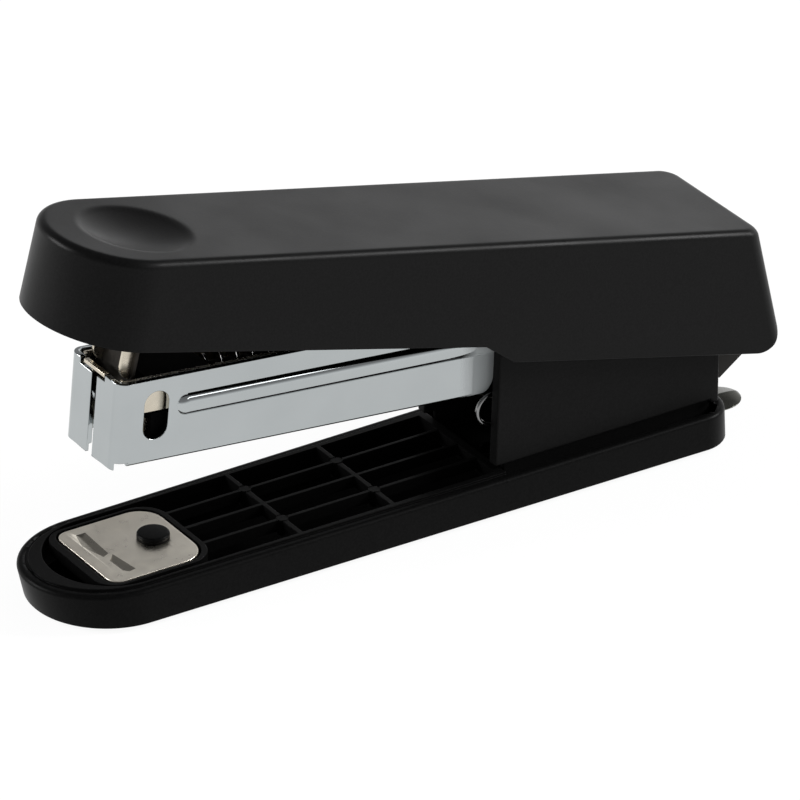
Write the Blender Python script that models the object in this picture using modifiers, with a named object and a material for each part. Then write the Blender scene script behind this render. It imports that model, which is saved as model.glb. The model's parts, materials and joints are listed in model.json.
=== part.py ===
"""Compact desk stapler for small (No.10 size) staples, shown open at rest.

X runs across the stapler, -Y is the nose and +Z is up.  The origin is the middle of the base's
underside.  All sizes are in millimetres and are scaled to metres when a mesh is made.
The base is modelled in world axes.  The magazine and the handle are modelled level, around the
pivot pin, and an empty on the pin tilts each of them to its rest angle.
"""
import math

import bmesh
import bpy
from mathutils import Matrix, Vector

MM = 0.001

# Joints
PIVOT_Y, PIVOT_Z = 38.0, 14.0
MAGAZINE_TILT = 5.6
HANDLE_TILT = 14.0
GAP = 0.3

# Base
NOSE_Y, REAR_Y = -43.1, 43.35
NOSE_RAKE = 1.05
FRONT_HALF, REAR_HALF = 9.4, 10.2
SHELL_BOTTOM, SHELL_TOP = 0.5, 4.8
SHELL_WALL, SHELL_ROOF = 1.4, 1.4
NOSE_CENTRE_Y = -33.8
RIM_FILLET = 0.5
LAND_HALF = 7.4
RIB_WIDTH = 0.5
RIB_XS = (-4.0, -0.1, 3.8)
CELL_ROWS = ((-23.9, -14.1), (-13.5, -2.1), (-1.5, 11.6))
REAR_OPENING_Y = (12.7, 41.5)
PLATE_TOP = 1.2

# Anvil
ANVIL_HALF_X = 6.4
ANVIL_Y = (-36.9, -24.8)
ANVIL_Z = (4.2, 4.9)
STUD_Y, STUD_RADIUS, STUD_TOP = -28.0, 1.85, 5.7
GROOVE_DEPTH = 0.4

# Hinge bracket
BRACKET_HALF, BRACKET_INNER = 8.0, 6.6
BRACKET_FRONT, BRACKET_REAR = 11.6, 41.8
BRACKET_FLOOR = (1.6, 3.0)

# Pivot pin
PIN_RADIUS = 1.5
PIN_HOLE = PIN_RADIUS + GAP
PIN_HALF = 7.1

# Magazine, measured from the pivot
CHANNEL_HALF, SHEET = 5.3, 0.7
CHANNEL_FRONT, CHANNEL_REAR = -74.0, -25.0
CHANNEL_FLOOR, CHANNEL_TOP = -3.08, 6.9
CHANNEL_CORNER = 1.8
BEAD_Z, BEAD_RADIUS = 3.25, 1.0
GUIDE_SHEET = 0.3
ROD_Z, ROD_RADIUS = 4.2, 0.75
PUSHER_FRONT, PUSHER_LENGTH = -69.0, 8.0
ANCHOR_Y = (-32.0, -31.2)
SPRING_TURNS = 14

# Handle, measured from the pivot
CAP_NOSE_Y, CAP_NOSE_DEPTH = -83.4, 8.7
CAP_HALF_TOP, CAP_SIDE_FLARE = 9.2, 0.05
CAP_REAR_TOP, CAP_REAR_FLARE = 5.5, 0.477
CAP_WALL, CAP_CEILING = 1.4, 2.8
CAP_FILLET = 0.9
DIMPLE_Y, DIMPLE_RADIUS, DIMPLE_DEPTH = -72.7, 6.5, 1.1
FRAME_HALF, FRAME_INNER = 6.3, 5.6
FRAME_TOP = 9.0
BLADE_HALF = 3.6


def cap_roof(y):
    """Height of the cap's top face, which rises slightly to the rear."""
    return 13.59 + 0.0195 * y


def clear_scene():
    for obj in list(bpy.data.objects):
        bpy.data.objects.remove(obj)


def make_collection(name):
    collection = bpy.data.collections.new(name)
    bpy.context.scene.collection.children.link(collection)
    return collection


def make_empty(name, location, tilt):
    """Parent of a moving body, on its joint's axis; a positive tilt lifts the nose."""
    empty = bpy.data.objects.new(name, None)
    empty.location = Vector(location) * MM
    empty.rotation_euler.x = -math.radians(tilt)
    PARTS.objects.link(empty)
    return empty


def make_material(name, colour, roughness, metallic):
    material = bpy.data.materials.new(name)
    material.use_nodes = True
    shader = material.node_tree.nodes["Principled BSDF"]
    shader.inputs["Base Color"].default_value = (*colour, 1.0)
    shader.inputs["Roughness"].default_value = roughness
    shader.inputs["Metallic"].default_value = metallic
    return material


def add_object(name, mesh, body, material=None):
    """Link a mesh as a part, or as a hidden cutter when it has no material."""
    obj = bpy.data.objects.new(name, mesh)
    obj.parent = body
    if material is None:
        CUTTERS.objects.link(obj)
        obj.hide_render = True
        obj.display_type = "WIRE"
    else:
        PARTS.objects.link(obj)
        mesh.materials.clear()
        mesh.materials.append(material)
    return obj


def rounded_box(x0, x1, y0, y1, rear_radius, front_radius=None, steps=4):
    """Outline of a rectangle with round corners, counter-clockwise."""
    points = []
    corners = ((x1, y1, 0), (x0, y1, 90), (x0, y0, 180), (x1, y0, 270))
    for x, y, start in corners:
        radius = rear_radius if y == y1 or front_radius is None else front_radius
        cx = x - radius if x == x1 else x + radius
        cy = y - radius if y == y1 else y + radius
        for step in range(steps + 1):
            angle = math.radians(start + 90 * step / steps)
            points.append((cx + radius * math.cos(angle), cy + radius * math.sin(angle)))
    return points


def circle(cx, cy, radius, steps=24):
    turn = 2 * math.pi / steps
    return [(cx + radius * math.cos(i * turn), cy + radius * math.sin(i * turn)) for i in range(steps)]


def arc(cx, cy, rx, ry, start, end, steps):
    """Points of an elliptic arc from one angle to another, in degrees."""
    angles = [math.radians(start + (end - start) * i / steps) for i in range(steps + 1)]
    return [(cx + rx * math.cos(a), cy + ry * math.sin(a)) for a in angles]


def nosed_outline(front_half, rear_half, nose_y, nose_centre, rear_y, rear_radius, steps=20):
    """Plan outline with an elliptic nose, tapered sides and round rear corners."""
    points = arc(0, nose_centre, front_half, nose_centre - nose_y, 180, 360, steps)
    corner = rear_half - rear_radius
    points += arc(corner, rear_y - rear_radius, rear_radius, rear_radius, 0, 90, 5)
    points += arc(-corner, rear_y - rear_radius, rear_radius, rear_radius, 90, 180, 5)
    return points


def prism(name, outlines, axis, low, high, body, material=None):
    """Extrude a flat outline, given with any holes, from low to high along an axis.

    The outline is (x, y) for axis z, (y, z) for axis x and (x, z) for axis y.
    """
    if isinstance(outlines[0][0], (int, float)):
        outlines = [outlines]
    curve = bpy.data.curves.new(name, "CURVE")
    curve.dimensions = "2D"
    curve.fill_mode = "BOTH"
    curve.extrude = (high - low) / 2 * MM
    for outline in outlines:
        spline = curve.splines.new("POLY")
        spline.points.add(len(outline) - 1)
        spline.use_cyclic_u = True
        for point, (u, v) in zip(spline.points, outline):
            point.co = (u * MM, v * MM, 0, 1)
    mesh = curve_to_mesh(name, curve)
    middle = (high + low) / 2 * MM
    if axis == "x":
        place = Matrix(((0, 0, 1, middle), (1, 0, 0, 0), (0, 1, 0, 0), (0, 0, 0, 1)))
    elif axis == "y":
        place = Matrix(((1, 0, 0, 0), (0, 0, -1, middle), (0, 1, 0, 0), (0, 0, 0, 1)))
    else:
        place = Matrix.Translation((0, 0, middle))
    mesh.transform(place)
    return add_object(name, mesh, body, material)


def curve_to_mesh(name, curve):
    """Turn a curve into a welded mesh and remove the curve."""
    holder = bpy.data.objects.new(name + "_curve", curve)
    bpy.context.scene.collection.objects.link(holder)
    evaluated = holder.evaluated_get(bpy.context.evaluated_depsgraph_get())
    mesh = bpy.data.meshes.new_from_object(evaluated)
    bpy.data.objects.remove(holder)
    work = bmesh.new()
    work.from_mesh(mesh)
    bmesh.ops.remove_doubles(work, verts=work.verts, dist=0.000001)
    bmesh.ops.recalc_face_normals(work, faces=work.faces)
    work.to_mesh(mesh)
    work.free()
    mesh.name = name
    return mesh


def box(name, low, high, body, material=None):
    mesh = bpy.data.meshes.new(name)
    work = bmesh.new()
    bmesh.ops.create_cube(work, size=1.0)
    size = Vector(high) - Vector(low)
    middle = (Vector(high) + Vector(low)) / 2
    bmesh.ops.transform(work, verts=work.verts,
                        matrix=Matrix.Translation(middle * MM) @ Matrix.Diagonal((*(size * MM), 1)))
    work.to_mesh(mesh)
    work.free()
    return add_object(name, mesh, body, material)


def rod(name, start, end, radius, body, material=None, sides=24):
    """Round bar between two points."""
    start, end = Vector(start) * MM, Vector(end) * MM
    mesh = bpy.data.meshes.new(name)
    work = bmesh.new()
    bmesh.ops.create_cone(work, cap_ends=True, segments=sides, radius1=radius * MM,
                          radius2=radius * MM, depth=(end - start).length)
    turn = (end - start).to_track_quat("Z", "Y").to_matrix().to_4x4()
    bmesh.ops.transform(work, verts=work.verts, matrix=Matrix.Translation((start + end) / 2) @ turn)
    work.to_mesh(mesh)
    work.free()
    obj = add_object(name, mesh, body, material)
    mesh.shade_smooth()
    mesh.set_sharp_from_angle(angle=math.radians(40))
    return obj


def turned(name, profile, place, body, material, sides=20):
    """Turned piece: (radius, height) pairs from top to bottom, placed by a matrix in mm."""
    mesh = bpy.data.meshes.new(name)
    points = [Vector((radius * MM, 0, height * MM)) for radius, height in profile]
    mesh.from_pydata(points, [(i, i + 1) for i in range(len(points) - 1)], [])
    obj = add_object(name, mesh, body, material)
    obj.matrix_local = Matrix.Translation(place.to_translation() * MM) @ place.to_3x3().to_4x4()
    screw = obj.modifiers.new("Turn", "SCREW")
    screw.axis = "Z"
    screw.steps = sides
    screw.render_steps = sides
    screw.use_merge_vertices = True
    screw.merge_threshold = 0.00001
    screw.use_smooth_shade = False
    return obj


def wire(name, points, radius, body, material):
    """Round wire along points."""
    curve = bpy.data.curves.new(name, "CURVE")
    curve.dimensions = "3D"
    curve.bevel_depth = radius * MM
    curve.bevel_resolution = 2
    curve.use_fill_caps = True
    spline = curve.splines.new("POLY")
    spline.points.add(len(points) - 1)
    for point, co in zip(spline.points, points):
        point.co = (*(Vector(co) * MM), 1)
    return add_object(name, curve_to_mesh(name, curve), body, material)


def loft(name, rings, body, material=None):
    """Closed solid through rings of equal length, from the lowest ring to the highest."""
    mesh = bpy.data.meshes.new(name)
    work = bmesh.new()
    loops = [[work.verts.new(Vector(point) * MM) for point in ring] for ring in rings]
    for lower, upper in zip(loops, loops[1:]):
        for i in range(len(lower)):
            j = (i + 1) % len(lower)
            work.faces.new((lower[i], lower[j], upper[j], upper[i]))
    work.faces.new(list(reversed(loops[0])))
    work.faces.new(loops[-1])
    bmesh.ops.recalc_face_normals(work, faces=work.faces)
    work.to_mesh(mesh)
    work.free()
    return add_object(name, mesh, body, material)


def combine(target, operation, *others):
    """Cut the target by, or join it to, the other objects."""
    for other in others:
        modifier = target.modifiers.new(other.name, "BOOLEAN")
        modifier.operation = operation
        modifier.object = other
        modifier.solver = "EXACT"
    return target


def bevel(obj, width, segments=2, angle=40):
    modifier = obj.modifiers.new("Bevel", "BEVEL")
    modifier.width = width * MM
    modifier.segments = segments
    modifier.limit_method = "ANGLE"
    modifier.angle_limit = math.radians(angle)
    modifier.harden_normals = False


def base_outline(inset=0.0, rake=0.0, steps=20):
    """Plan outline of the base, moved inwards by an inset and with its nose raked forwards."""
    return nosed_outline(FRONT_HALF - inset, REAR_HALF - inset, NOSE_Y + inset - rake, NOSE_CENTRE_Y,
                         REAR_Y - inset, max(4.3 - inset, 1.5), steps)


def make_base_shell():
    """Moulded top shell: rim, land, rib grid, ring round the anvil and rear opening."""
    levels = ((SHELL_BOTTOM, 0.0, 0.0), (SHELL_TOP - RIM_FILLET, 0.15, NOSE_RAKE),
              (SHELL_TOP - 0.15, 0.3, NOSE_RAKE), (SHELL_TOP, 0.15 + RIM_FILLET, NOSE_RAKE))
    rings = [[(x, y, z) for x, y in base_outline(inset, rake)] for z, inset, rake in levels]
    shell = loft("base_shell", rings, BASE, BLACK_PLASTIC)
    inner = base_outline(SHELL_WALL + 0.15)
    hollow = prism("cut_shell_hollow", inner, "z", -1, SHELL_TOP - SHELL_ROOF, BASE)
    combine(shell, "DIFFERENCE", hollow)

    top = SHELL_TOP - SHELL_ROOF - 1, SHELL_TOP + 1
    ring_outer = rounded_box(-7.1, 7.1, -38.2, -23.9, 3.3, 2.6)
    front = arc(0, -33.6, LAND_HALF + 0.2, 7.3, 180, 360, 18)
    half = LAND_HALF + 0.2
    opening = prism("cut_front_opening", front + [(half, -24.7), (-half, -24.7)], "z", *top, BASE)
    keep = prism("keep_anvil_ring", ring_outer, "z", 0, 8, BASE)
    combine(opening, "DIFFERENCE", keep)
    combine(shell, "DIFFERENCE", opening)

    edges = [-LAND_HALF, *RIB_XS, LAND_HALF]
    for row, (y0, y1) in enumerate(CELL_ROWS):
        for column, (x0, x1) in enumerate(zip(edges, edges[1:])):
            left = x0 if column == 0 else x0 + RIB_WIDTH / 2
            right = x1 if column == len(edges) - 2 else x1 - RIB_WIDTH / 2
            cell = box(f"cut_cell_{row}_{column}", (left, y0, top[0]), (right, y1, top[1]), BASE)
            combine(shell, "DIFFERENCE", cell)
    seat = rounded_box(-ANVIL_HALF_X - GAP, ANVIL_HALF_X + GAP, ANVIL_Y[0] - GAP, ANVIL_Y[1] + GAP, 3.2, 1.8)
    seat_cut = prism("cut_anvil_seat", seat, "z", ANVIL_Z[0] - 0.1, SHELL_TOP + 1, BASE)
    stud_cut = rod("cut_stud_hole", (0, STUD_Y, 0), (0, STUD_Y, 8), 1.5, BASE)
    front_y, rear_y = REAR_OPENING_Y
    rear = [(-8.8, front_y), (8.8, front_y), (9.1, rear_y - 1), (8.1, rear_y), (-8.1, rear_y),
            (-9.1, rear_y - 1)]
    rear_cut = prism("cut_rear_opening", rear, "z", *top, BASE)
    slot = box("cut_tongue_slot", (-3.2, 38, -1), (3.2, 46, 1.7), BASE)
    combine(shell, "DIFFERENCE", seat_cut, stud_cut, rear_cut, slot)


def make_bottom_plate():
    """Flat cover that closes the shell from below; the stapler stands on it."""
    plate = prism("bottom_plate", base_outline(SHELL_WALL + 0.15 + GAP), "z", 0, PLATE_TOP, BASE, DARK_STEEL)
    tongue_room = box("cut_tongue_room", (-3.1, 30.7, -1), (3.1, 44, 2), BASE)
    combine(plate, "DIFFERENCE", tongue_room)
    for y in SCREW_YS:
        head = rod(f"cut_plate_head_{y:.0f}", (0, y, -1), (0, y, 0.75), 2.1, BASE)
        shank = rod(f"cut_plate_shank_{y:.0f}", (0, y, -1), (0, y, 2), 1.1, BASE)
        combine(plate, "DIFFERENCE", head, shank)


SCREW_YS = (16.5, 26.5)
REMOVER_RIVET_Y = 35.0


def make_base_screws():
    """Two screws from below that hold the plate and shell to the hinge bracket."""
    for name, y in zip(("base_screw_front", "base_screw_rear"), SCREW_YS):
        profile = [(0, 2.7), (0.8, 2.7), (0.8, 0.65), (1.8, 0.45), (1.8, 0.15), (0, 0.15)]
        turned(name, profile, Matrix.Translation((0, y, 0)), BASE, DARK_STEEL)


def make_anvil():
    """Nickel clinch plate with two grooves, and the black stud that pins it down."""
    outline = rounded_box(-ANVIL_HALF_X, ANVIL_HALF_X, *ANVIL_Y, 3.0, 1.5)
    plate = prism("anvil_plate", outline, "z", *ANVIL_Z, BASE, NICKEL)
    long_groove = [(-5.0, -34.9), (-2.5, -35.5), (0.8, -34.8), (0.3, -33.9), (-5.0, -33.7)]
    short_groove = [(1.8, -34.6), (4.4, -34.5), (5.0, -34.0), (4.8, -33.1), (0.7, -33.6)]
    for index, groove in enumerate((long_groove, short_groove)):
        cut = prism(f"cut_groove_{index}", groove, "z", ANVIL_Z[1] - GROOVE_DEPTH, ANVIL_Z[1] + 1, BASE)
        combine(plate, "DIFFERENCE", cut)
    hole = rod("cut_anvil_hole", (0, STUD_Y, 0), (0, STUD_Y, 8), 1.5, BASE)
    combine(plate, "DIFFERENCE", hole)
    under = ANVIL_Z[1] + 0.05
    profile = [(0, STUD_TOP), (STUD_RADIUS - 0.2, STUD_TOP), (STUD_RADIUS, STUD_TOP - 0.2),
               (STUD_RADIUS, under), (1.2, under), (1.2, 2.6), (0, 2.6)]
    turned("anvil_stud", profile, Matrix.Translation((0, STUD_Y, 0)), BASE, BLACK_PLASTIC, 28)


def make_hinge_bracket():
    """Upright fork that rises through the rear of the shell and holds the pivot pin."""
    side = [(BRACKET_FRONT, 5.6), (40.6, 5.6), (40.9, 5.1), (BRACKET_REAR, 5.1), (BRACKET_REAR, 18.0),
            (40.0, 20.0), (28.0, 21.0), (BRACKET_FRONT + 0.6, 21.0)]
    bracket = prism("hinge_bracket", side, "x", -BRACKET_HALF, BRACKET_HALF, BASE, BLACK_PLASTIC)
    foot = box("join_bracket_foot", (-7.2, 13.1, BRACKET_FLOOR[0]), (7.2, 41.1, 6.0), BASE)
    combine(bracket, "UNION", foot)
    channel = box("cut_bracket_channel", (-BRACKET_INNER, 0, BRACKET_FLOOR[1]), (BRACKET_INNER, 50, 30), BASE)
    reach = PIN_HALF + GAP
    pin = rod("cut_bracket_pin", (-reach, PIVOT_Y, PIVOT_Z), (reach, PIVOT_Y, PIVOT_Z), PIN_HOLE, BASE)
    combine(bracket, "DIFFERENCE", channel, pin)
    for index, y in enumerate((*SCREW_YS, REMOVER_RIVET_Y)):
        hole = rod(f"cut_bracket_hole_{index}", (0, y, 0), (0, y, 5), 1.3, BASE)
        combine(bracket, "DIFFERENCE", hole)


def make_staple_remover():
    """Spring-steel tongue that sticks out at the rear for prising out staples."""
    tip = arc(0, 46.9, 2.8, 3.2, 0, 180, 12)
    outline = [(-2.8, 31.0), (2.8, 31.0)] + tip
    tongue = prism("staple_remover", outline, "z", 0.15, 0.75, BASE, NICKEL)
    hole = rod("cut_tongue_hole", (0, REMOVER_RIVET_Y, 0), (0, REMOVER_RIVET_Y, 3), 1.3, BASE)
    combine(tongue, "DIFFERENCE", hole)
    profile = [(0, 3.8), (1.8, 3.8), (1.8, 3.3), (1.0, 3.3), (1.0, 0.15), (0, 0.15)]
    turned("remover_rivet", profile, Matrix.Translation((0, REMOVER_RIVET_Y, 0)), BASE, NICKEL)


def make_pivot():
    """Pin through the bracket, the handle and the magazine, with a spacer sleeve inside."""
    rod("pivot_pin", (-PIN_HALF, PIVOT_Y, PIVOT_Z), (PIN_HALF, PIVOT_Y, PIVOT_Z), PIN_RADIUS, BASE, CHROME)
    sleeve = rod("pivot_sleeve", (-3.2, PIVOT_Y, PIVOT_Z), (3.2, PIVOT_Y, PIVOT_Z), 2.6, BASE, NICKEL)
    bore = rod("cut_sleeve_bore", (-5, PIVOT_Y, PIVOT_Z), (5, PIVOT_Y, PIVOT_Z), PIN_HOLE, BASE)
    combine(sleeve, "DIFFERENCE", bore)


def make_return_spring():
    """Wire hairpin between the bracket floor and the magazine, which lifts the magazine."""
    bend_y, bend_z, bend_radius, side_x = 12.3, 11.85, 1.8, 5.95
    half = [(3.9, 19.5, 13.0), (5.0, 17.0, 13.3), (side_x, 14.5, bend_z + bend_radius)]
    for step in range(9):
        angle = math.radians(90 + 150 * step / 8)
        half.append((side_x, bend_y + bend_radius * math.cos(angle), bend_z + bend_radius * math.sin(angle)))
    half += [(side_x, 22.0, 4.4), (5.6, 23.4, 3.7), (4.6, 24.2, 3.6)]
    mirrored = [(-x, y, z) for x, y, z in reversed(half)]
    wire("return_spring", half + mirrored, 0.25, BASE, CHROME)


def channel_plan(inset, rear):
    """Plan outline of the magazine channel, moved inwards by an inset and cut off at the rear."""
    half = CHANNEL_HALF - inset
    radius = CHANNEL_CORNER - inset
    front = CHANNEL_FRONT + inset
    points = arc(half - radius, front + radius, radius, radius, 270, 360, 5)
    points += [(half, rear), (-half, rear)]
    return points + arc(radius - half, front + radius, radius, radius, 180, 270, 5)


def make_magazine_channel():
    """Plated sheet channel, open on top, with two front flaps and a bead along each side."""
    channel = prism("magazine_channel", channel_plan(0, CHANNEL_REAR), "z", -3.4, CHANNEL_TOP,
                    MAGAZINE, CHROME)
    for side in (-1, 1):
        bead = rod(f"join_bead_{side}", (side * 4.8, -65.4, BEAD_Z), (side * 4.8, CHANNEL_REAR, BEAD_Z),
                   BEAD_RADIUS, MAGAZINE, sides=16)
        combine(channel, "UNION", bead)
    hollow = prism("cut_channel", channel_plan(SHEET, 0), "z", CHANNEL_FLOOR + SHEET, 10, MAGAZINE)
    mouth = prism("cut_mouth", channel_plan(SHEET, -70.2), "z", -5, 0, MAGAZINE)
    under = box("cut_under", (-8, -72.9, -5), (8, -20, CHANNEL_FLOOR), MAGAZINE)
    slot = box("cut_front_slot", (-0.5, -76, -5), (0.5, -73, 10), MAGAZINE)
    relief = box("cut_bend_relief", (-8, -73.3, -5), (8, -72.8, -2.7), MAGAZINE)
    notch = box("cut_lip_notch", (-3.8, -76, 6.0), (1.9, -73, 10), MAGAZINE)
    window = rounded_box(-70.6, -67.5, -0.25, 5.45, 1.5, steps=5)
    window_cut = prism("cut_window", window, "x", -8, 8, MAGAZINE)
    heel = [(CHANNEL_REAR + 1, -5), (CHANNEL_REAR + 1, -1.1)]
    heel += arc(CHANNEL_REAR - 2.0, -1.08, 2.0, 2.0, 0, -90, 5) + [(CHANNEL_REAR - 2.0, -5)]
    heel_cut = prism("cut_heel", heel, "x", -8, 8, MAGAZINE)
    rivet_hole = rod("cut_channel_rivet", (0, RIVET_Y, -5), (0, RIVET_Y, 0), 1.2, MAGAZINE)
    combine(channel, "DIFFERENCE", hollow, mouth, under, slot, relief, notch, window_cut, heel_cut,
            rivet_hole)


RIVET_Y = -35.0


def make_staple_guide():
    """Thin liner inside the channel walls that keeps the staple strip down."""
    inset = SHEET + GAP
    guide = prism("staple_guide", channel_plan(inset, -38.5), "z", 2.6, CHANNEL_TOP - 0.1, MAGAZINE, NICKEL)
    hollow = prism("cut_guide", channel_plan(inset + GUIDE_SHEET, -30), "z", 0, 10, MAGAZINE)
    below = box("cut_guide_front", (-6, -76, 0), (6, -70.9, 5.9), MAGAZINE)
    lip = box("join_guide_lip", (-3.4, CHANNEL_FRONT + 0.15, 6.3), (1.6, -72.8, CHANNEL_TOP - 0.1), MAGAZINE)
    combine(guide, "DIFFERENCE", hollow, below)
    combine(guide, "UNION", lip)


def make_staple_rail():
    """Inverted channel that the staples straddle, narrower at the front for the driver."""
    rail = box("staple_rail", (-3.4, -71.2, -2.08), (3.4, -38.6, 1.5), MAGAZINE, NICKEL)
    hollow = box("cut_rail", (-2.7, -69.8, -4), (2.7, -30, 0.8), MAGAZINE)
    combine(rail, "DIFFERENCE", hollow)
    for side in (-1, 1):
        low, high = sorted((side * 2.5, side * 5))
        neck = box(f"cut_rail_neck_{side}", (low, -73, -4), (high, -69.3, 3), MAGAZINE)
        combine(rail, "DIFFERENCE", neck)


def make_magazine_frame():
    """Steel channel that carries the magazine back to the pivot pin."""
    side = [(-38.0, -2.08), (1.0, -2.08)] + arc(1.0, 1.26, 3.4, 3.34, -90, 90, 8) + [(-38.0, 4.6)]
    frame = prism("magazine_frame", side, "x", -4.3, 4.3, MAGAZINE, DARK_STEEL)
    hollow = box("cut_frame_hollow", (-3.6, -40, -1.38), (3.6, 10, 10), MAGAZINE)
    heel = box("cut_frame_heel", (-3.6, -4.5, -5), (3.6, 10, 10), MAGAZINE)
    pin = rod("cut_frame_pin", (-8, 0, 0), (8, 0, 0), PIN_HOLE, MAGAZINE)
    rivet_hole = rod("cut_frame_rivet", (0, RIVET_Y, -5), (0, RIVET_Y, 0), 1.2, MAGAZINE)
    combine(frame, "DIFFERENCE", hollow, heel, pin, rivet_hole)
    profile = [(0, -0.6), (1.8, -0.6), (1.8, -1.08), (0.9, -1.08), (0.9, -3.0), (0, -3.0)]
    turned("channel_rivet", profile, Matrix.Translation((0, RIVET_Y, 0)), MAGAZINE, NICKEL)


def make_pusher_group():
    """Guide rod with its anchor plate, the coil spring and the sliding pusher."""
    anchor = box("rod_anchor", (-3.3, ANCHOR_Y[0], -1.08), (3.3, ANCHOR_Y[1], 6.2), MAGAZINE, DARK_STEEL)
    hole = rod("cut_anchor_hole", (0, -40, ROD_Z), (0, -20, ROD_Z), ROD_RADIUS + GAP, MAGAZINE)
    combine(anchor, "DIFFERENCE", hole)
    profile = [(0, -30.2), (1.4, -30.2), (1.4, -30.9), (ROD_RADIUS, -30.9), (ROD_RADIUS, -69.0), (0.4, -69.4),
               (0, -69.4)]
    turned("guide_rod", profile, ALONG_ROD, MAGAZINE, CHROME, 16)

    start = PUSHER_FRONT + PUSHER_LENGTH + 0.5
    end = ANCHOR_Y[0] - 0.5
    count = SPRING_TURNS * 10
    coil = []
    for step in range(count + 1):
        angle = 2 * math.pi * step / 10
        y = start + (end - start) * step / count
        coil.append((1.5 * math.cos(angle), y, ROD_Z + 1.5 * math.sin(angle)))
    wire("pusher_spring", coil, 0.2, MAGAZINE, CHROME)

    rear = PUSHER_FRONT + PUSHER_LENGTH
    section = [(-4.2, -1.9), (-3.7, -1.9), (-3.7, 1.8), (3.7, 1.8), (3.7, -1.9), (4.2, -1.9),
               (4.2, 2.3), (3.4, 2.3), (3.4, 6.0), (-3.4, 6.0), (-3.4, 2.3), (-4.2, 2.3)]
    pusher = prism("pusher", section, "y", PUSHER_FRONT, rear, MAGAZINE, BLACK_PLASTIC)
    bore = rod("cut_pusher_bore", (0, -80, ROD_Z), (0, -50, ROD_Z), ROD_RADIUS + GAP, MAGAZINE)
    combine(pusher, "DIFFERENCE", bore)


def cap_ring(inset, drop):
    """One level of the cap, at a drop below its roof; the walls flare outwards on the way down."""
    half = CAP_HALF_TOP + CAP_SIDE_FLARE * drop - inset
    rear = CAP_REAR_TOP + CAP_REAR_FLARE * drop - inset
    nose_centre = CAP_NOSE_Y + CAP_NOSE_DEPTH
    outline = nosed_outline(half, half + 0.15, CAP_NOSE_Y + inset, nose_centre, rear,
                            max(2.2 - inset, 0.8), 24)
    return [(x, y, cap_roof(y) - drop) for x, y in outline]


def make_top_cap():
    """Moulded cap: thumb dish on the nose, flared sides, stepped skirt and slanted rear wall."""
    outer = [cap_ring(0, 17.5), cap_ring(0, CAP_FILLET)]
    for angle in (30, 60, 90):
        turn = math.radians(angle)
        outer.append(cap_ring(CAP_FILLET * (1 - math.cos(turn)), CAP_FILLET * (1 - math.sin(turn))))
    cap = loft("top_cap", outer, HANDLE, BLACK_PLASTIC)
    inner = [cap_ring(CAP_WALL, 18.5), cap_ring(CAP_WALL, CAP_CEILING + 1.0),
             cap_ring(CAP_WALL + 1.0, CAP_CEILING)]
    hollow = loft("cut_cap_hollow", inner, HANDLE)

    below = [(-90, -20), (25, -20), (25, 2.5), (10.9, 2.5)]
    below += arc(8.1, 1.6, 2.8, 2.7, 0, -90, 6)
    below += [(-25.8, -0.95), (-30.0, 0.99), (-84.0, 2.05), (-90, 2.1)]
    skirt = prism("cut_cap_skirt", below, "x", -20, 20, HANDLE)
    notch = box("cut_cap_notch", (-8.3, 2, -10), (8.3, 20, 2.2), HANDLE)
    mesh = bpy.data.meshes.new("cut_dimple")
    work = bmesh.new()
    ball = (DIMPLE_RADIUS ** 2 + DIMPLE_DEPTH ** 2) / (2 * DIMPLE_DEPTH)
    bmesh.ops.create_uvsphere(work, u_segments=32, v_segments=64, radius=ball * MM)
    centre = Vector((0, DIMPLE_Y, cap_roof(DIMPLE_Y) + ball - DIMPLE_DEPTH))
    bmesh.ops.translate(work, verts=work.verts, vec=centre * MM)
    work.to_mesh(mesh)
    work.free()
    dimple = add_object("cut_dimple", mesh, HANDLE)
    combine(cap, "DIFFERENCE", skirt, hollow, notch, dimple)
    for index, y in enumerate(CAP_SCREW_YS):
        hole = rod(f"cut_cap_screw_{index}", (0, y, 5), (0, y, screw_tip(y) + GAP), 1.1, HANDLE)
        combine(cap, "DIFFERENCE", hole)


CAP_SCREW_YS = (-56.0, -8.0)
SPRING_RIVET_Y = -42.0


def screw_tip(y):
    """Height of a cap screw's end, inside the thickness of the roof."""
    return cap_roof(y) - 1.9


def make_handle_frame():
    """Folded steel frame under the cap; its ears turn on the pivot pin."""
    side = [(-74.5, FRAME_TOP), (4.0, FRAME_TOP), (6.6, 3.5), (8.7, -1.2), (9.0, -2.8), (6.6, -5.6),
            (3.0, -4.9), (-3.5, -4.2), (-12.0, -2.0), (-24.5, 2.5), (-30.0, 4.8), (-74.5, 4.8)]
    frame = prism("handle_frame", side, "x", -FRAME_HALF, FRAME_HALF, HANDLE, DARK_STEEL)
    hollow = box("cut_handle_hollow", (-FRAME_INNER, -80, -10), (FRAME_INNER, 20, FRAME_TOP - 0.8), HANDLE)
    pin = rod("cut_handle_pin", (-12, 0, 0), (12, 0, 0), PIN_HOLE, HANDLE)
    combine(frame, "DIFFERENCE", hollow, pin)
    for index, y in enumerate((*CAP_SCREW_YS, SPRING_RIVET_Y)):
        hole = rod(f"cut_handle_hole_{index}", (0, y, 5), (0, y, 12), 1.1, HANDLE)
        combine(frame, "DIFFERENCE", hole)


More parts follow.
